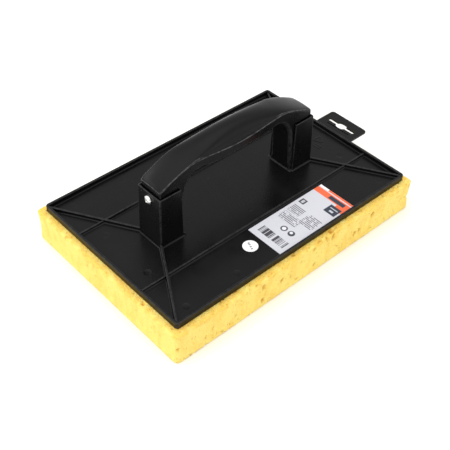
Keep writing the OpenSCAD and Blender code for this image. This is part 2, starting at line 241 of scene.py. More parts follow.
def black_plastic(name, shade, roughness, gloss, grain_size, grain_depth, wear_and_highlight):
    """Satin black moulded plastic: fine grain, patchy gloss, rubbed edges painted much lighter as an edge
    highlight, a little dust.
    """
    material, tree, shader, place = new_material(
        name, (shade, shade, shade * 1.06), roughness, Specular_IOR_Level=gloss)
    edge = add(tree, "ShaderNodeAttribute", attribute_name="edge").outputs["Fac"]
    grain = use(tree, grain_group, Place=place, Grain_size=grain_size, Unevenness=0.2)
    worn_and_highlight = use(tree, wear_and_highlight_group, Place=place, Edge=edge, Amount=wear_and_highlight)
    dust = use(tree, dust_group, Place=place, Amount=0.3)
    # Painted highlight: raised edges, where the mask also marks rubbing, are blended to a much lighter grey
    # that stands in for light catching them.
    colour = blend_colour(tree, maths(tree, "MULTIPLY", worn_and_highlight["Rubbed"], 0.6),
                          (shade, shade, shade * 1.06, 1.0), (0.14, 0.14, 0.145, 1.0))
    colour = blend_colour(tree, maths(tree, "MULTIPLY", dust["Mask"], 0.025), colour,
                          (0.35, 0.34, 0.31, 1.0))
    tree.links.new(colour, shader.inputs["Base Color"])
    rough = ramp(tree, grain["Patch"], 0.3, 0.7, roughness - 0.06, roughness + 0.07)
    rough = maths(tree, "ADD", rough, maths(tree, "MULTIPLY", worn_and_highlight["Rubbed"], -0.12))
    rough = maths(tree, "ADD", rough, maths(tree, "MULTIPLY", worn_and_highlight["Scuffs"], 0.05))
    rough = maths(tree, "ADD", rough, maths(tree, "MULTIPLY", dust["Mask"], 0.15), clamp=True)
    tree.links.new(rough, shader.inputs["Roughness"])
    height = maths(tree, "SUBTRACT", grain["Height"], maths(tree, "MULTIPLY", worn_and_highlight["Scuffs"], 0.3))
    give_bump(tree, shader, height, grain_depth)
    return material


def sponge_foam():
    """Yellow cellulose-like foam: sunk pores with painted shade that makes them darker and warmer, fine
    cells, and painted shade along the top next to the plate.
    """
    pale, pore_shade = (0.99, 0.75, 0.19, 1.0), (0.68, 0.34, 0.04, 1.0)
    material, tree, shader, place = new_material(
        "Yellow sponge", pale[:3], 0.95, Specular_IOR_Level=0.15,
        Subsurface_Weight=0.12, Subsurface_Scale=0.004)
    shader.inputs["Subsurface Radius"].default_value = (1.0, 0.6, 0.15)
    pore = add(tree, "ShaderNodeAttribute", attribute_name="pore").outputs["Fac"]
    cells = add(tree, "ShaderNodeTexVoronoi", {"Vector": place, "Scale": 900.0}, feature="F1")
    small = add(tree, "ShaderNodeTexVoronoi", {"Vector": place, "Scale": 330.0}, feature="F1")
    drawn = add(tree, "ShaderNodeMapping", {"Vector": place, "Scale": (1.0, 1.0, 0.45)}).outputs[0]
    patch = add(tree, "ShaderNodeTexNoise", {"Vector": drawn, "Scale": 130.0, "Detail": 5.0})
    small_hole = ramp(tree, small.outputs["Distance"], 0.28, 0.12, smooth=True)
    chance = add(tree, "ShaderNodeSeparateColor", {0: small.outputs["Color"]}).outputs[0]
    small_hole = maths(tree, "MULTIPLY", small_hole, ramp(tree, chance, 0.55, 0.75))
    fine = ramp(tree, cells.outputs["Distance"], 0.2, 0.7)
    # Painted shade: the top band of the foam, next to and under the plate, is blended by patchy noise
    # towards a darker, warmer orange. The patchy streaks elsewhere are the foam's own colour.
    height_up = add(tree, "ShaderNodeSeparateXYZ", {0: place}).outputs[2]
    painted_shade_band = ramp(tree, height_up, 0.0285, 0.0315)
    warmth_and_painted_shade = ramp(tree, patch.outputs[0], 0.45, 0.68, 0.0, 0.7)
    painted_contact_shade = maths(tree, "MULTIPLY", painted_shade_band, ramp(tree, patch.outputs[0], 0.35, 0.6))
    warmth_and_painted_shade = maths(tree, "ADD", warmth_and_painted_shade, painted_contact_shade, clamp=True)
    colour = blend_colour(tree, warmth_and_painted_shade, pale, (0.95, 0.59, 0.10, 1.0))
    colour = blend_colour(tree, maths(tree, "MULTIPLY", fine, 0.25), colour, (1.0, 0.84, 0.30, 1.0))
    # Painted shade: small holes and pores are blended towards a dark brownish orange, as the shade inside
    # them.
    colour = blend_colour(tree, maths(tree, "MULTIPLY", small_hole, 0.55), colour, pore_shade)
    colour = blend_colour(tree, ramp(tree, pore, 0.1, 1.0, 0.0, 0.85), colour, pore_shade)
    tree.links.new(colour, shader.inputs["Base Color"])
    tree.links.new(ramp(tree, fine, 0.0, 1.0, 0.85, 1.0), shader.inputs["Roughness"])
    height = maths(tree, "SUBTRACT", fine, maths(tree, "MULTIPLY", small_hole, 1.6))
    give_bump(tree, shader, height, 0.0005, 0.8)
    return material


def contact_glue():
    """Amber contact glue, ropy and slightly clear."""
    material, tree, shader, place = new_material(
        "Amber glue", (0.42, 0.22, 0.05), 0.35, Specular_IOR_Level=0.5)
    ropes = add(tree, "ShaderNodeTexNoise", {"Vector": place, "Scale": 160.0, "Detail": 3.0})
    colour = blend_colour(tree, ropes.outputs[0], (0.30, 0.14, 0.03, 1.0), (0.62, 0.38, 0.10, 1.0))
    tree.links.new(colour, shader.inputs["Base Color"])
    tree.links.new(ramp(tree, ropes.outputs[0], 0.3, 0.7, 0.2, 0.5), shader.inputs["Roughness"])
    give_bump(tree, shader, ropes.outputs[0], 0.0004)
    return material


def zinc_plating():
    """Bright zinc plating with turning marks and a little grey tarnish."""
    material, tree, shader, place = new_material("Bright zinc", (0.80, 0.80, 0.78), 0.28, Metallic=1.0)
    cloudy = add(tree, "ShaderNodeTexNoise", {"Vector": place, "Scale": 500.0, "Detail": 4.0})
    drawn = add(tree, "ShaderNodeMapping", {"Vector": place, "Scale": (4000.0, 300.0, 300.0)}).outputs[0]
    turned = add(tree, "ShaderNodeTexNoise", {"Vector": drawn, "Scale": 1.0, "Detail": 1.0})
    edge = add(tree, "ShaderNodeAttribute", attribute_name="edge").outputs["Fac"]
    worn_and_highlight = use(tree, wear_and_highlight_group, Place=place, Edge=edge, Amount=0.6)
    colour = blend_colour(tree, ramp(tree, cloudy.outputs[0], 0.45, 0.7), (0.82, 0.82, 0.80, 1.0),
                          (0.60, 0.60, 0.58, 1.0))
    colour = blend_colour(tree, worn_and_highlight["Rubbed"], colour, (0.92, 0.92, 0.90, 1.0))
    tree.links.new(colour, shader.inputs["Base Color"])
    tree.links.new(ramp(tree, cloudy.outputs[0], 0.3, 0.7, 0.18, 0.4), shader.inputs["Roughness"])
    give_bump(tree, shader, turned.outputs[0], 0.00003)
    return material


def make_patch_group():
    """A printed rectangle: 1 inside, 0 outside, with a hairline soft edge."""
    group, given, result = new_group(
        "Printed patch",
        [("X", "Float", 0.0), ("Y", "Float", 0.0), ("Left", "Float", 0.0), ("Right", "Float", 1.0),
         ("Bottom", "Float", 0.0), ("Top", "Float", 1.0)],
        [("Mask", "Float")])
    edge = 0.12
    mask = None
    for near, far in (("X", "Left"), ("Right", "X"), ("Y", "Bottom"), ("Top", "Y")):
        side = ramp(group, maths(group, "SUBTRACT", given[near], given[far]), -edge, edge)
        mask = side if mask is None else maths(group, "MULTIPLY", mask, side)
    group.links.new(mask, result["Mask"])
    return group


def label_print(centre):
    """The label: a plain orange band, a navy block, grey bars for text and a row of stripes."""
    patch_group = make_patch_group()
    material, tree, shader, place = new_material(
        "Printed label", (0.80, 0.79, 0.86), 0.42, Specular_IOR_Level=0.5,
        Coat_Weight=0.25, Coat_Roughness=0.15)
    spot = in_millimetres(tree, place, centre)
    split = add(tree, "ShaderNodeSeparateXYZ", {0: spot}).outputs
    x, y = split[0], split[1]

    def patch(left, right, bottom, top):
        return use(tree, patch_group, X=x, Y=y, Left=left, Right=right, Bottom=bottom, Top=top)["Mask"]

    def disc(at_x, at_y, radius):
        away = maths(tree, "SQRT", maths(
            tree, "ADD", maths(tree, "POWER", maths(tree, "SUBTRACT", x, at_x), 2.0),
            maths(tree, "POWER", maths(tree, "SUBTRACT", y, at_y), 2.0)))
        return ramp(tree, away, radius + 0.12, radius - 0.12)

    def bars(along, step, share, across, word):
        """Rows of broken bars, like lines of fine print, that run across and repeat along."""
        row = maths(tree, "DIVIDE", along, step)
        within = maths(tree, "FRACT", row)
        ink = ramp(tree, within, share + 0.06, share - 0.06)
        cell = add(tree, "ShaderNodeCombineXYZ", {
            0: maths(tree, "FLOOR", row), 1: maths(tree, "FLOOR", maths(tree, "DIVIDE", across, word))})
        broken = add(tree, "ShaderNodeTexWhiteNoise", {"Vector": cell.outputs[0]}).outputs["Value"]
        return maths(tree, "MULTIPLY", ink, ramp(tree, broken, 0.12, 0.2))

    grey_paper = blend_colour(
        tree, add(tree, "ShaderNodeTexNoise", {"Vector": spot, "Scale": 1.2, "Detail": 5.0}).outputs[0],
        (0.54, 0.54, 0.59, 1.0), (0.70, 0.70, 0.74, 1.0))
    orange, navy = (0.86, 0.13, 0.035, 1.0), (0.012, 0.022, 0.045, 1.0)
    ink = (0.05, 0.05, 0.06, 1.0)
    colour = grey_paper
    print_rows = [
        (patch(43.3, 45.5, -19.5, 9.0), orange), (patch(43.3, 45.5, 9.0, 19.5), (0.9, 0.9, 0.9, 1.0)),
        (patch(35.2, 42.0, -19.5, 19.5), orange), (patch(36.4, 40.8, -15.0, 3.0), navy),
        (patch(29.0, 35.2, -19.5, -9.0), orange), (patch(21.5, 32.5, -17.6, -5.2), navy),
        (patch(13.0, 19.5, 11.0, 17.0), ink), (patch(14.2, 18.3, 12.6, 15.4), (0.5, 0.5, 0.55, 1.0)),
        (patch(24.0, 26.2, -13.6, -9.4), (0.55, 0.58, 0.62, 1.0)),
        (patch(28.4, 29.4, -15.8, -7.4), (0.55, 0.58, 0.62, 1.0)),
        (disc(-21.0, 0.5, 3.3), ink), (disc(-21.0, 0.5, 2.0), (0.78, 0.78, 0.84, 1.0)),
        (disc(-21.0, -8.2, 3.3), ink), (disc(-20.4, -7.6, 1.5), (0.78, 0.78, 0.84, 1.0)),
    ]
    for mask, tint in print_rows:
        colour = blend_colour(tree, mask, colour, tint)
    small_print = bars(x, 1.9, 0.42, y, 1.7)
    for block in ((-1.5, 8.5, 3.0, 16.6), (-14.5, -3.5, -4.5, 16.2), (-6.0, 9.5, -16.6, -1.5)):
        inked = maths(tree, "MULTIPLY", small_print, patch(*block))
        colour = blend_colour(tree, inked, colour, (0.07, 0.07, 0.09, 1.0))
    stripe = add(tree, "ShaderNodeTexWhiteNoise",
                 {"W": maths(tree, "FLOOR", maths(tree, "DIVIDE", y, 0.55))}, noise_dimensions="1D")
    stripes = maths(tree, "MULTIPLY", ramp(tree, stripe.outputs["Value"], 0.34, 0.36),
                    patch(-39.5, -31.0, -15.8, 14.6))
    colour = blend_colour(tree, stripes, colour, ink)
    tree.links.new(colour, shader.inputs["Base Color"])
    scuff = add(tree, "ShaderNodeTexNoise", {"Vector": spot, "Scale": 0.35, "Detail": 6.0})
    tree.links.new(ramp(tree, scuff.outputs[0], 0.3, 0.7, 0.32, 0.52), shader.inputs["Roughness"])
    fibre = add(tree, "ShaderNodeTexNoise", {"Vector": spot, "Scale": 4.0, "Detail": 3.0})
    give_bump(tree, shader, fibre.outputs[0], 0.00004)
    return material


def sticker_paper(centre):
    """A plain white round sticker with four short grey bars."""
    material, tree, shader, place = new_material("White sticker", (0.88, 0.88, 0.88), 0.5)
    spot = in_millimetres(tree, place, centre)
    turned = add(tree, "ShaderNodeMapping", {"Vector": spot, "Rotation": (0.0, 0.0, 0.35)}).outputs[0]
    split = add(tree, "ShaderNodeSeparateXYZ", {0: turned}).outputs
    group = bpy.data.node_groups["Printed patch"]
    fibre = add(tree, "ShaderNodeTexNoise", {"Vector": spot, "Scale": 3.0, "Detail": 4.0})
    colour = blend_colour(tree, fibre.outputs[0], (0.84, 0.84, 0.84, 1.0), (0.93, 0.93, 0.92, 1.0))
    for low in (-4.2, -1.6, 1.0, 2.9):
        bar = use(tree, group, X=split[0], Y=split[1], Left=-0.9, Right=0.9, Bottom=low, Top=low + 1.5)
        inked = maths(tree, "MULTIPLY", bar["Mask"], 0.8)
        colour = blend_colour(tree, inked, colour, (0.1, 0.1, 0.11, 1.0))
    tree.links.new(colour, shader.inputs["Base Color"])
    tree.links.new(ramp(tree, fibre.outputs[0], 0.3, 0.7, 0.45, 0.6), shader.inputs["Roughness"])
    give_bump(tree, shader, fibre.outputs[0], 0.00004)
    return material


# ---- Shape helpers ----

def rounded(corners, steps=4):
    """The corners (x, y, radius) of an outline, each replaced by an arc. Returns (x, y) points."""
    points = []
    for i, (x, y, radius) in enumerate(corners):
        here = Vector((x, y))
        before = (Vector(corners[i - 1][:2]) - here).normalized()
        after = (Vector(corners[(i + 1) % len(corners)][:2]) - here).normalized()
        half = before.angle(after) / 2
        run = radius / math.tan(half)
        middle = here + (before + after).normalized() * radius / math.sin(half)
        start, end = here + before * run - middle, here + after * run - middle
        turn = math.atan2(start.x * end.y - start.y * end.x, start.dot(end))
        for s in range(steps + 1):
            a = turn * s / steps
            spin = Vector((start.x * math.cos(a) - start.y * math.sin(a),
                           start.x * math.sin(a) + start.y * math.cos(a)))
            points.append(tuple(middle + spin))
    return points


def box_corners(x0, x1, y0, y1, radius):
    return [(x0, y0, radius), (x1, y0, radius), (x1, y1, radius), (x0, y1, radius)]


def lifted(outline, z):
    return [(x, y, z) for x, y in outline]


def quarter(steps):
    """Sine and one minus cosine round a quarter turn."""
    return [(math.sin(math.pi / 2 * s / steps), 1 - math.cos(math.pi / 2 * s / steps))
            for s in range(steps + 1)]


def weld(mesh):
    """Joins points that lie together and turns every face outwards."""
    work = bmesh.new()
    work.from_mesh(mesh)
    bmesh.ops.remove_doubles(work, verts=work.verts, dist=1e-6)
    bmesh.ops.recalc_face_normals(work, faces=work.faces)
    work.to_mesh(mesh)
    work.free()


def closed_solid(name, rings, lift=underside):
    """A closed solid through rings of points in millimetres, raised by lift."""
    n = len(rings[0])
    points = [(x * MM, y * MM, (z + lift) * MM) for ring in rings for x, y, z in ring]
    faces = [(i * n + j, i * n + (j + 1) % n, (i + 1) * n + (j + 1) % n, (i + 1) * n + j)
             for i in range(len(rings) - 1) for j in range(n)]
    faces.append(tuple(reversed(range(n))))
    faces.append(tuple((len(rings) - 1) * n + j for j in range(n)))
    mesh = bpy.data.meshes.new(name)
    mesh.from_pydata(points, [], faces)
    weld(mesh)
    return put(name, mesh)


def put(name, mesh):
    made = bpy.data.objects.new(name, mesh)
    bpy.context.scene.collection.objects.link(made)
    return made


def bake(piece):
    """Turns what the modifiers make into the piece's own plain mesh."""
    bpy.context.view_layer.update()
    seen = piece.evaluated_get(bpy.context.evaluated_depsgraph_get())
    mesh = bpy.data.meshes.new_from_object(seen, preserve_all_data_layers=True,
                                           depsgraph=bpy.context.evaluated_depsgraph_get())
    piece.modifiers.clear()
    old = piece.data
    piece.data = mesh
    mesh.name = piece.name
    if old.users == 0:
        bpy.data.meshes.remove(old)
    return piece


def combine(piece, others, operation):
    """Joins the other solids to the piece, or cuts them out of it, and removes them."""
    for other in others:
        cut = piece.modifiers.new("combine", "BOOLEAN")
        cut.object, cut.operation, cut.solver = other, operation, "MANIFOLD"
        bake(piece)
        bpy.data.objects.remove(other)


def finish_surface(piece, material, sharp=38.0):
    """Smooth shading with clean flats, the mask of raised edges, and the material."""
    mesh = piece.data
    narrow_w, width_fade = 1.3 * MM, 0.6 * MM
    least_bend, bend_fade = 0.18, 0.08
    work = bmesh.new()
    work.from_mesh(mesh)
    bmesh.ops.remove_doubles(work, verts=work.verts, dist=2e-6)
    bmesh.ops.dissolve_degenerate(work, dist=2e-6, edges=work.edges)
    raised = []
    for face in work.faces:
        bend = [e.calc_face_angle_signed() for e in face.edges if len(e.link_faces) == 2]
        width = face.calc_area() / max(e.calc_length() for e in face.edges)
        narrow = min(max((narrow_w - width) / width_fade, 0.0), 1.0)
        raised.append(min(max((max(bend + [0.0]) - least_bend) / bend_fade, 0.0), 1.0) * narrow)
    work.to_mesh(mesh)
    work.free()
    mask = mesh.attributes.get("edge") or mesh.attributes.new("edge", "FLOAT", "FACE")
    mask.data.foreach_set("value", raised)
    mesh.materials.clear()
    mesh.materials.append(material)
    mesh.shade_smooth()
    mesh.set_sharp_from_angle(angle=math.radians(sharp))
    even = piece.modifiers.new("clean flats", "WEIGHTED_NORMAL")
    even.keep_sharp = True
    even.weight = 100
    return bake(piece)


def hand_over(piece, slot, *nodes):
    """The piece stands for these CAD nodes, on the one rigid body."""
    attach(piece, "root")
    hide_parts(*nodes)


# ---- Base plate ----

def tray():
    """The sheet and its rim as one closed shell with rounded edges and a small inner fillet."""
    def ring(inset, z):
        r = max(plate_corner_r - inset, 0.5)
        return lifted(rounded(box_corners(-plate_half_l + inset, plate_half_l - inset,
                                          -plate_half_w + inset, plate_half_w - inset, r), 6), z)
    low, top, foot = 0.5, 0.8, 1.2
    rings = [ring(low - low * s, low - low * (1 - c)) for s, c in quarter(3)]
    rings += [ring(top * c, rim_h - top + top * s) for s, c in quarter(4)]
    rings += [ring(rim_w - top * c, rim_h - top + top * s) for s, c in reversed(quarter(4))]
    rings += [ring(rim_w + foot * c, sheet_t + foot - foot * s) for s, c in quarter(4)]
    return closed_solid("base_plate", rings)


def make_rib_tree():
    """Sweeps a rib's section along a straight line from Start to End."""
    tree, given, result = new_group(
        "Swept rib",
        [("Section", "Geometry", None), ("Start", "Vector", (0.0, 0.0, 0.0)),
         ("End", "Vector", (0.1, 0.0, 0.0)), ("Material", "Material", None)],
        [("Rib", "Geometry")], "GeometryNodeTree")
    line = add(tree, "GeometryNodeCurvePrimitiveLine", {"Start": given["Start"], "End": given["End"]})
    upright = add(tree, "GeometryNodeSetCurveNormal", {"Curve": line.outputs[0]}, mode="Z_UP")
    section = add(tree, "GeometryNodeMeshToCurve", {"Mesh": given["Section"]})
    swept = add(tree, "GeometryNodeCurveToMesh", {
        "Curve": upright.outputs[0], "Profile Curve": section.outputs[0], "Fill Caps": True})
    return hand_out(tree, swept.outputs[0], given["Material"], result["Rib"])


def set_inputs(modifier, **values):
    """Sets a Geometry Nodes modifier's inputs, found by their names."""
    for item in modifier.node_group.interface.items_tree:
        key = item.name.replace(" ", "_")
        if getattr(item, "in_out", "") == "INPUT" and key in values:
            modifier[item.identifier] = values[key]


def rib(tree, start, end, width, height, material):
    """One rib with a rounded top and a fillet along each foot."""
    top = min(width * 0.3, height * 0.3)
    rib_fillet = min(1.3, height * 0.6)
    side = [(-width / 2 - rib_fillet * (1 - s), sheet_t - 0.03 + rib_fillet * c) for s, c in quarter(4)]
    side += [(-width / 2 + top * c, sheet_t + height - top + top * s) for s, c in quarter(3)]
    section = [(side[0][0], sheet_t - 0.6)] + side
    section += [(-x, z) for x, z in reversed(section)]
    mesh = bpy.data.meshes.new("rib")
    mesh.from_pydata([(x * MM, -z * MM, 0.0) for x, z in section],
                     [(i, (i + 1) % len(section)) for i in range(len(section))], [])
    made = put("rib", mesh)
    sweep = made.modifiers.new("sweep", "NODES")
    sweep.node_group = tree
    set_inputs(sweep, Start=[start[0] * MM, start[1] * MM, underside * MM],
               End=[end[0] * MM, end[1] * MM, underside * MM], Material=material)
    bake(made)
    weld(made.data)
    return made


def ribs(material):
    tree = make_rib_tree()
    reach = plate_half_l - rim_w / 2
    made = [rib(tree, (-reach, s * long_rib_y), (reach, s * long_rib_y), long_rib_w, long_rib_h, material)
            for s in (-1, 1)]
    corner = (plate_half_l - rim_w / 2, plate_half_w - rim_w / 2)
    foot = (socket_x + socket_flare - 1, socket_half_w + side_flare - 1)
    for sx in (-1, 1):
        for sy in (-1, 1):
            made.append(rib(tree, (sx * foot[0], sy * foot[1]), (sx * corner[0], sy * corner[1]),
                            cross_rib_w, cross_rib_h, material))
        sill_x, sill_y = sx * (leg_foot_x - leg_gap - sill_w / 2), socket_half_w + side_flare
        made.append(rib(tree, (sill_x, -sill_y), (sill_x, sill_y), sill_w, sill_h, material))
    return made


def socket(side):
    """A U-shaped channel that holds a handle leg: leaning walls, rounded top, filleted foot."""
    def ring(z, grow):
        lean = (socket_h - z) / (socket_h - sheet_t / 2)
        x1 = socket_x + socket_flare * lean + grow
        x0 = socket_x - socket_depth - socket_foot_depth * lean - grow
        half = socket_half_w + side_flare * lean + grow
        inner, back = pocket_half_w - min(grow, 0), pocket_x - min(grow, 0)
        end = 0.6
        outline = rounded([
            (x0, -half, end), (x1, -half, 1.3), (x1, half, 1.3), (x0, half, end),
            (x0, inner, end), (back, inner, 0.5), (back, -inner, 0.5), (x0, -inner, end)])
        return [(side * x, y, z) for x, y in outline]
    top = 0.7
    rings = [ring(sheet_t - 0.5, socket_fillet)]
    rings += [ring(sheet_t - 0.03 + socket_fillet * c, socket_fillet * (1 - s)) for s, c in quarter(5)]
    rings += [ring(socket_h - top + top * s, -top * c) for s, c in quarter(4)]
    return closed_solid("socket", rings)


def slot_outline(length, width, grow):
    """A round-ended slot along Y."""
    return rounded(box_corners(-width / 2 - grow, width / 2 + grow, -length / 2 - grow, length / 2 + grow,
                               width / 2 + grow - 0.02), 8)


def through_cut(outline, x):
    """A cutter for a hole in the tab, its rim eased at both faces."""
    lip = 0.4
    rings = []
    for z, grow in ((-1.0, lip), (0.0, lip), (lip * 0.3, lip * 0.3), (lip, 0.0),
                    (tab_t - lip, 0.0), (tab_t - lip * 0.3, lip * 0.3), (tab_t, lip), (tab_t + 1.0, lip)):
        rings.append([(x + px, py, tab_z + z) for px, py in outline(grow)])
    return closed_solid("cut", rings)


def hang_tab():
    """The tab that the tool hangs by, with eased edges."""
    soft, root = 0.6, 1.2

    def ring(inset, z):
        return lifted(rounded(box_corners(plate_half_l - root, plate_half_l + tab_l - inset,
                                          -tab_w / 2 + inset, tab_w / 2 - inset,
                                          tab_corner_r - inset), 6), tab_z + z)
    rings = [ring(soft - soft * s, soft * c) for s, c in quarter(3)]
    rings += [ring(soft * c, tab_t - soft + soft * s) for s, c in quarter(3)]
    return closed_solid("tab", rings)


def tab_cuts():
    """Cutters for the hang hole, its bulge and the two short grooves."""
    def bulge(grow):
        across, along = hang_bulge_w / 2 + grow, hang_bulge_l / 2 + grow
        return [(across * math.copysign(abs(math.cos(a)) ** 0.8, math.cos(a)),
                 along * math.copysign(abs(math.sin(a)) ** 0.8, math.sin(a)))
                for a in (math.tau * i / 40 for i in range(40))]
    place = plate_half_l + hang_x
    cuts = [through_cut(lambda g: slot_outline(hang_slot_l, hang_slot_w, g), place),
            through_cut(bulge, place)]
    for s in (-1, 1):
        y = s * (groove_l + groove_gap) / 4
        rings = []
        for z, grow in ((groove_floor, -0.2), (groove_floor + 0.2, 0.0), (tab_t - 0.2, 0.0),
                        (tab_t, 0.2), (tab_t + 1.0, 0.2)):
            rings.append([(plate_half_l + groove_x + px, y + py, tab_z + z)
                          for px, py in slot_outline((groove_l - groove_gap) / 2, groove_w, grow)])
        cuts.append(closed_solid("cut", rings))
    return cuts


def make_marks_tree():
    """Puts a squashed ball over every point of a mesh; what dips below the point is as wide as its size."""
    ball_r, ball_rise = 0.625, 0.375
    tree, given, result = new_group(
        "Round marks",
        [("Points", "Geometry", None), ("Depth", "Float", 0.00025), ("Material", "Material", None)],
        [("Marks", "Geometry")], "GeometryNodeTree")
    size = add(tree, "GeometryNodeInputNamedAttribute", {"Name": "width"}, data_type="FLOAT")
    ball = add(tree, "GeometryNodeMeshUVSphere", {"Segments": 36, "Rings": 24, "Radius": ball_r})
    raised = add(tree, "GeometryNodeTransform", {"Geometry": ball.outputs[0],
                                                 "Translation": (0.0, 0.0, ball_rise)})
    tall = maths(tree, "DIVIDE", given["Depth"], ball_r - ball_rise)
    scale = add(tree, "ShaderNodeCombineXYZ", {0: size.outputs[0], 1: size.outputs[0],
                                               2: tall})
    points = add(tree, "GeometryNodeMeshToPoints", {"Mesh": given["Points"]})
    placed = add(tree, "GeometryNodeInstanceOnPoints", {
        "Points": points.outputs[0], "Instance": raised.outputs[0], "Scale": scale.outputs[0]})
    return hand_out(tree, placed.outputs[0], given["Material"], result["Marks"])


def ejector_marks(material):
    """The round marks that the mould's ejector pins leave in the sheet."""
    outer = (plate_half_l - mark_edge - mark_d, plate_half_w - mark_edge)
    middle = (plate_half_l - mark_edge - mark_d, (long_rib_y + socket_half_w) / 2)
    inner = ((plate_half_l - mark_edge) / 2, plate_half_w - mark_edge)
    places = [(sx * p[0], sy * p[1], mark_d) for p in (outer, middle, inner)
              for sx in (-1, 1) for sy in (-1, 1)]
    places += [(0.0, s * middle[1], mark_d / 2) for s in (-1, 1)]
    mesh = bpy.data.meshes.new("marks")
    mesh.from_pydata([(x * MM, y * MM, (underside + sheet_t) * MM) for x, y, _ in places],
                     [], [])
    width = mesh.attributes.new("width", "FLOAT", "POINT")
    width.data.foreach_set("value", [w * MM for _, _, w in places])
    made = put("marks", mesh)
    press = made.modifiers.new("marks", "NODES")
    press.node_group = make_marks_tree()
    set_inputs(press, Depth=mark_depth * MM, Material=material)
    return bake(made)


def screw_hole(side):
    """A cutter for the clearance hole in a socket's end face, slightly countersunk."""
    hole_r, rim_r, mouth_r = 2.25, 2.9, 3.4
    rings = []
    for x, r in ((pocket_x - 2.0, hole_r), (socket_x - 0.3, hole_r),
                 (socket_x + 0.4, rim_r), (socket_x + 4.0, mouth_r)):
        rings.append([(side * x, r * math.cos(a), screw_z + r * math.sin(a))
                      for a in (math.tau * i / 24 for i in range(24))])
    return closed_solid("cut", rings)


def moulded_mark():
    """A plain raised triangle with two short bars beside it, where the mould marks the material."""
    def stroke(start, end, half):
        a, b = Vector(start), Vector(end)
        along = (b - a).normalized() * half
        side = Vector((-along.y, along.x))
        corners = [a - along - side, b + along - side, b + along + side, a - along + side]
        rings = []
        for z, scale in ((sheet_t - 0.3, 1.0), (sheet_t + 0.3, 0.95), (sheet_t + 0.45, 0.6)):
            rings.append([(*(c - (1 - scale) * (side if i > 1 else -side)), z)
                          for i, c in enumerate(corners)])
        return closed_solid("stroke", rings)
    mark_x, mark_y, reach, line_half = 118.0, 1.5, 6.0, 0.5
    bar_x, bar_step, bar_low, bar_high = 108.0, 3.0, -8.0, -1.0
    tips = [(mark_x + reach * math.cos(a), mark_y + reach * math.sin(a))
            for a in (math.radians(25 + 120 * i) for i in range(3))]
    strokes = []
    for i, tip in enumerate(tips):
        start, end = Vector(tip), Vector(tips[(i + 1) % 3])
        strokes.append(stroke(start.lerp(end, 0.1), start.lerp(end, 0.82), line_half))
    for x in (bar_x, bar_x + bar_step):
        strokes.append(stroke((x, bar_low), (x, bar_high), line_half))
    return strokes


def base_plate():
    plastic = black_plastic("Plate plastic", 0.0035, 0.29, 0.19, 0.0009, 0.00003, 0.25)
    plate = tray()
    combine(plate, ribs(plastic) + [socket(1), socket(-1), hang_tab()] + moulded_mark(), "UNION")
    combine(plate, tab_cuts() + [ejector_marks(plastic), screw_hole(1), screw_hole(-1)], "DIFFERENCE")
    finish_surface(plate, plastic)
    hand_over(plate, "plate_plastic", "base_plate")


# ---- Handle ----

def ease(t):
    return (1 - math.cos(math.pi * min(max(t, 0), 1))) / 2


def crown(x):
    return crown_h - (crown_h - crown_end_h) * min(abs(x) / grip_end_x, 1) ** crown_power


def crease(x):
    x = abs(x)
    if x < crease_top_x:
        return crease_mid_h + (crease_top_h - crease_mid_h) * ease(x / crease_top_x)
    return crease_top_h - (crease_top_h - crease_end_h) * (
        (x - crease_top_x) / (grip_end_x - crease_top_x)) ** 1.5


def arch(x):
    x = abs(x)
    if x < arch_top_x:
        return arch_mid_h + (arch_top_h - arch_mid_h) * ease((x / arch_top_x) ** 3)
    return arch_side_h + (arch_top_h - arch_side_h) * math.sqrt(
        max(1 - ((x - arch_top_x) / (arch_side_x - arch_top_x)) ** 2, 0))


def spread(reach, count):
    """Places from -reach to reach, closer together towards the ends."""
    return [reach * math.sin(math.pi / 2 * (2 * i / count - 1)) for i in range(count + 1)]


def handle_outline():
    """The frame seen from the side: (x, z, edge radius) all the way round."""
    tight, soft, seam = 0.6, 3.0, 1.0
    over = [(x, crease(x), seam) for x in spread(leg_out_x, 60) if abs(x) < leg_out_x - 2.5]
    over = [(-leg_out_x, crease(leg_out_x), tight)] + over + [(leg_out_x, crease(leg_out_x), tight)]
    leg = [(leg_out_x, leg_foot_h + 0.6, tight), (leg_out_x, leg_foot_h, tight),
           (leg_foot_x, leg_foot_h, tight)]
    inner = [(leg_foot_x - (leg_foot_x - arch_side_x) * t, leg_foot_h + (arch_side_h - leg_foot_h) * t,
              min(tight + (soft - tight) * t * 5, soft)) for t in (0.1, 0.2, 0.4, 0.6, 0.8)]
    under = [(x, arch(x), soft) for x in reversed(spread(arch_side_x, 64))]
    mirrored = [(-x, z, r) for x, z, r in reversed(leg + inner)]
    return over + leg + inner + under + mirrored


def inwards(outline):
    """For each point of a clockwise outline, the direction straight into the solid."""
    into = []
    for i, (x, z, _) in enumerate(outline):
        before = Vector((x - outline[i - 1][0], z - outline[i - 1][1])).normalized()
        nxt = outline[(i + 1) % len(outline)]
        after = Vector((nxt[0] - x, nxt[1] - z)).normalized()
        first, second = Vector((before.y, -before.x)), Vector((after.y, -after.x))
        mean = (first + second).normalized()
        into.append(mean / max(mean.dot(first), 0.5))
    return into


def handle_frame():
    """The lower half of the handle: a closed bow on two legs, its finger side generously rounded."""
    plastic = black_plastic("Handle plastic", 0.0035, 0.3, 0.14, 0.0009, 0.00003, 0.3)
    outline = handle_outline()
    into = inwards(outline)

    def ring(side, s, c):
        return [(x + v.x * r * (1 - s), side * (frame_w / 2 - r * c), z + v.y * r * (1 - s))
                for (x, z, r), v in zip(outline, into)]
    rings = [ring(-1, s, c) for s, c in quarter(6)] + [ring(1, s, c) for s, c in reversed(quarter(6))]
    piece = closed_solid("handle_frame", rings)
    finish_surface(piece, plastic)
    hand_over(piece, "handle_plastic", "handle_frame")


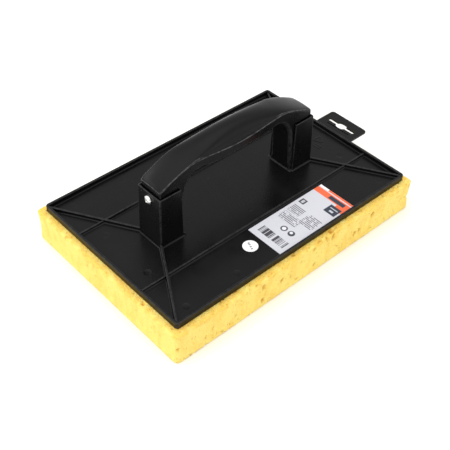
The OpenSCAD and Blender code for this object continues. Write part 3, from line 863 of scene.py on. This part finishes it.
def grip_shell():
    """The upper half of the grip: a crowned closed form that overhangs the frame, without its hollow."""
    plastic = black_plastic("Grip plastic", 0.004, 0.34, 0.15, 0.0011, 0.00003, 0.9)
    edge, neck = 0.5, 0.9
    end_top, end_side, end_foot, end_long = 1.2, 1.6, 0.2, 4.0

    def section(x, turn):
        """One slice; turn goes from 0 to 1 where the end rounds off."""
        reach = min(abs(x), grip_end_x)
        half = grip_end_half_w + (grip_half_w - grip_end_half_w) * (1 - (reach / grip_end_x) ** 2)
        half -= end_side * turn
        foot = crease(reach) + 0.05 + end_foot * turn
        bead = min(1.3, max((crown(reach) - foot) * 0.28, edge + 0.15))
        side = foot + bead
        rise = crown(reach) - end_top * turn - side
        low = [(-half + edge * (1 - s), foot + edge * c) for s, c in quarter(4)]
        sunk = neck * (bead - edge) / 0.8
        low += [(-half + sunk * ease(t), foot + edge + (bead - edge) * t) for t in (0.35, 0.65, 0.9)]
        dome = [(-(half - sunk) * math.copysign(abs(math.cos(a)) ** (2 / dome_power), math.cos(a)),
                 side + rise * math.sin(a) ** (2 / dome_power))
                for a in (math.pi * j / 36 for j in range(37))]
        return [(x, y, z) for y, z in low + dome + [(-y, z) for y, z in reversed(low)]]
    straight = grip_end_x - end_long
    rings = [section(-straight - end_long * s, c) for s, c in reversed(quarter(8))]
    rings += [section(x, 0.0) for x in spread(straight, 72)[1:-1]]
    rings += [section(straight + end_long * s, c) for s, c in quarter(8)]
    piece = closed_solid("grip_shell", rings)
    finish_surface(piece, plastic)
    hand_over(piece, "grip_plastic", "grip_shell")


# ---- Screws ----

def make_pair_tree():
    """Puts the piece at one end of the tool, and turned half round at the other."""
    tree, given, result = new_group(
        "One at each end",
        [("Piece", "Geometry", None), ("Half distance", "Float", 0.09), ("Height", "Float", 0.07),
         ("Material", "Material", None)],
        [("Pair", "Geometry")], "GeometryNodeTree")
    both = add(tree, "GeometryNodeJoinGeometry")
    for side in (-1.0, 1.0):
        place = add(tree, "ShaderNodeCombineXYZ", {
            0: maths(tree, "MULTIPLY", given["Half distance"], side), 2: given["Height"]})
        moved = add(tree, "GeometryNodeTransform", {
            "Geometry": given["Piece"], "Translation": place.outputs[0],
            "Rotation": (0.35 * side, 0.0, 0.0 if side > 0 else math.pi)})
        tree.links.new(moved.outputs[0], both.inputs[0])
    return hand_out(tree, both.outputs[0], given["Material"], result["Pair"])


def screws():
    """Two pan-head screws with a cross recess. Their shanks are plain, because the legs hide them."""
    zinc = zinc_plating()
    r, h = screw_head_d / 2, screw_head_h
    profile = [(-screw_l, 0.3), (-screw_l + 2.0, screw_d / 2 - 0.2), (-0.1, screw_d / 2 - 0.2),
               (0.0, screw_d / 2), (0.0, r - 0.15), (0.12, r), (h * 0.3, r), (h * 0.5, r * 0.97),
               (h * 0.7, r * 0.88), (h * 0.85, r * 0.74), (h * 0.95, r * 0.52), (h, r * 0.3)]
    rings = [[(x, rad * math.cos(a), rad * math.sin(a)) for a in (math.tau * i / 32 for i in range(32))]
             for x, rad in profile]
    screw = closed_solid("handle_screws", rings, 0.0)
    arm, width = screw_head_d * 0.27, screw_head_d * 0.07
    cuts = []
    for turned in (False, True):
        rings = []
        for x, a, w in ((h * 0.42, arm * 0.45, width * 0.7), (h + 0.5, arm * 1.08, width * 1.1)):
            flat = rounded(box_corners(-a, a, -w, w, w * 0.6), 3)
            rings.append([(x, q, p) if turned else (x, p, q) for p, q in flat])
        cuts.append(closed_solid("cut", rings, 0.0))
    combine(screw, cuts, "DIFFERENCE")
    low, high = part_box("rear_screw")
    pair = screw.modifiers.new("pair", "NODES")
    pair.node_group = make_pair_tree()
    set_inputs(pair, Half_distance=high[0] - h * MM, Height=(low[2] + high[2]) / 2, Material=zinc)
    bake(screw)
    finish_surface(screw, zinc, 42.0)
    hand_over(screw, "zinc_steel", "front_screw", "rear_screw")


# ---- Sponge ----

def make_pore_tree():
    """Sinks open pores into a fine mesh, as where a cut goes through bubbles in foam."""
    tree, given, result = new_group(
        "Open pores",
        [("Foam", "Geometry", None), ("Pore spacing", "Float", 0.009), ("Pore depth", "Float", 0.002),
         ("Stretch", "Float", 0.6), ("Unevenness", "Float", 0.0004), ("Seed", "Float", 3.0),
         ("Material", "Material", None)],
        [("Foam", "Geometry")], "GeometryNodeTree")
    place = add(tree, "GeometryNodeInputPosition").outputs[0]
    normal = add(tree, "GeometryNodeInputNormal").outputs[0]
    upright = add(tree, "ShaderNodeVectorMath", {
        0: place, 1: add(tree, "ShaderNodeCombineXYZ", {0: 1.0, 1: 1.0, 2: given["Stretch"]}).outputs[0]},
        operation="MULTIPLY")
    wobble = add(tree, "ShaderNodeTexNoise", {"Vector": place, "Scale": 260.0, "Detail": 2.0})
    bent = add(tree, "ShaderNodeVectorMath", {
        0: add(tree, "ShaderNodeVectorMath", {0: wobble.outputs["Color"], 1: (0.0045, 0.0045, 0.0045)},
               operation="MULTIPLY").outputs[0], 1: upright.outputs[0]}, operation="ADD")
    moved = add(tree, "ShaderNodeVectorMath", {
        0: bent.outputs[0], 1: add(tree, "ShaderNodeCombineXYZ", {0: given["Seed"]}).outputs[0]},
        operation="ADD").outputs[0]
    total = None
    for share, rarity in ((1.0, 0.5), (0.55, 0.4)):
        scale = maths(tree, "DIVIDE", 1.0, maths(tree, "MULTIPLY", given["Pore spacing"], share))
        bubbles = add(tree, "ShaderNodeTexVoronoi", {"Vector": moved, "Scale": scale})
        chance = add(tree, "ShaderNodeSeparateXYZ", {0: bubbles.outputs["Color"]})
        size = ramp(tree, chance.outputs[0], rarity, 1.0, 0.0, 0.38)
        inside = maths(tree, "SUBTRACT", size, bubbles.outputs["Distance"])
        hole = ramp(tree, inside, 0.0, 0.16, smooth=True)
        hole = maths(tree, "MULTIPLY", hole, share ** 0.5)
        total = hole if total is None else maths(tree, "MAXIMUM", total, hole)
    stored = add(tree, "GeometryNodeStoreNamedAttribute", {
        "Geometry": given["Foam"], "Name": "pore", "Value": total}, data_type="FLOAT", domain="POINT")
    lumps = add(tree, "ShaderNodeTexNoise", {"Vector": place, "Scale": 420.0, "Detail": 2.0})
    rise = maths(tree, "MULTIPLY", maths(tree, "SUBTRACT", lumps.outputs[0], 0.5), given["Unevenness"])
    depth = maths(tree, "SUBTRACT", rise, maths(tree, "MULTIPLY", total, given["Pore depth"]))
    shift = add(tree, "ShaderNodeVectorMath", {0: normal, "Scale": depth}, operation="SCALE")
    sunk = add(tree, "GeometryNodeSetPosition", {"Geometry": stored.outputs[0],
                                                 "Offset": shift.outputs[0]})
    return hand_out(tree, sunk.outputs[0], given["Material"], result["Foam"])


def sponge_pad():
    """The foam pad: square cut, soft edges, sides that pull in a little, and open pores."""
    foam = sponge_foam()
    x, y, top = sponge_high[0] / MM, sponge_high[1] / MM, sponge_high[2] / MM
    edge = 1.2

    def ring(inset, z):
        return lifted(rounded(box_corners(-x + inset, x - inset, -y + inset, y - inset, 4.0), 8), z)
    rings = [ring(0.2 + edge * (1 - s), edge * c) for s, c in quarter(4)]
    rings += [ring(0.2 + 0.7 * math.sin(math.pi * t), edge + (top - 2 * edge) * t)
              for t in (0.25, 0.5, 0.75)]
    rings += [ring(0.2 + edge * c, top - edge + edge * s) for s, c in quarter(4)]
    pad = closed_solid("sponge_pad", rings, 0.0)
    even = pad.modifiers.new("even cells", "REMESH")
    even.mode, even.voxel_size, even.use_smooth_shade = "VOXEL", 1.25 * MM, True
    bake(pad)
    pores = pad.modifiers.new("pores", "NODES")
    pores.node_group = make_pore_tree()
    set_inputs(pores, Pore_spacing=0.0075, Pore_depth=0.0017, Stretch=0.6, Unevenness=0.0004, Seed=3.0,
               Material=foam)
    bake(pad)
    low, high = Vector(sponge_low), Vector(sponge_high)
    for v in pad.data.vertices:
        v.co.z = min(max(v.co.z, low.z), high.z)
    pad.data.shade_smooth()
    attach(pad, "root")
    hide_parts("sponge_pad")


# ---- Carried-over pieces ----

def paint(node, material):
    """Gives a CAD node its finished material."""
    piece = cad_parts[node]
    if not piece.material_slots:
        piece.data.materials.append(material)
    for place in piece.material_slots:
        place.material = material


def middle(low, high):
    return tuple((low[i] + high[i]) / 2 for i in range(3))


# ---- Studio ----

def studio():
    floor_mesh = bpy.data.meshes.new("floor")
    reach = 4.0
    floor_mesh.from_pydata([(-reach, -reach, 0), (reach, -reach, 0), (reach, reach, 0), (-reach, reach, 0)],
                           [], [(0, 1, 2, 3)])
    floor = put("floor", floor_mesh)
    pale, tree, shader, place = new_material("Pale floor", (0.93, 0.93, 0.93), 0.9, Specular_IOR_Level=0.1)
    faint = add(tree, "ShaderNodeTexNoise", {"Vector": place, "Scale": 3.0})
    tree.links.new(ramp(tree, faint.outputs[0], 0.3, 0.7, 0.85, 0.95), shader.inputs["Roughness"])
    floor_mesh.materials.append(pale)

    world = bpy.data.worlds.new("Studio")
    world.use_nodes = True
    bpy.context.scene.world = world
    sky = world.node_tree.nodes["Background"]
    sky.inputs["Color"].default_value = (1.0, 1.0, 1.0, 1.0)
    sky.inputs["Strength"].default_value = 0.78

    def softbox(name, place, width, height, power):
        light = bpy.data.lights.new(name, "AREA")
        light.shape, light.size, light.size_y, light.energy = "RECTANGLE", width, height, power
        made = bpy.data.objects.new(name, light)
        bpy.context.scene.collection.objects.link(made)
        made.location = place
        made.rotation_euler = (middle_of_tool - Vector(place)).to_track_quat("-Z", "Y").to_euler()
    middle_of_tool = Vector((0.0, 0.0, 0.05))
    softbox("back softbox", (-0.5, 0.9, 0.8), 0.9, 0.4, 3.0)
    softbox("left softbox", (-1.2, -0.1, 0.7), 0.9, 0.9, 4.0)
    softbox("front softbox", (0.7, -1.2, 0.6), 0.8, 0.8, 1.9)
    softbox("top softbox", (-0.1, -0.1, 1.5), 2.0, 2.0, 14.0)


def camera():
    """The camera looks from the -X, -Y side, well above the tool."""
    turn, climb, roll = math.radians(-42.853), math.radians(43.496), math.radians(1.266)
    away, target = 0.73555, Vector((-0.02914, -0.02715, underside * MM))
    back = Vector((math.sin(turn) * math.cos(climb), -math.cos(turn) * math.cos(climb), math.sin(climb)))
    right = Vector((0, 0, 1)).cross(back).normalized()
    up = back.cross(right)
    tilted_right = math.cos(roll) * right + math.sin(roll) * up
    tilted_up = -math.sin(roll) * right + math.cos(roll) * up
    lens = bpy.data.cameras.new("camera")
    lens.lens, lens.sensor_width, lens.sensor_fit = 68.16, 36.0, "HORIZONTAL"
    lens.clip_start, lens.clip_end = 0.01, 20.0
    made = bpy.data.objects.new("camera", lens)
    bpy.context.scene.collection.objects.link(made)
    made.matrix_world = Matrix.Translation(target + back * away) @ Matrix(
        (tilted_right, tilted_up, back)).transposed().to_4x4()
    bpy.context.scene.camera = made


bpy.context.scene.view_settings.view_transform = "Standard"
camera()
studio()
sponge_pad()
base_plate()
handle_frame()
grip_shell()
screws()
paint("glue_layer", contact_glue())
paint("product_label", label_print(middle(label_low, label_high)))
paint("round_sticker", sticker_paper(middle(sticker_low, sticker_high)))
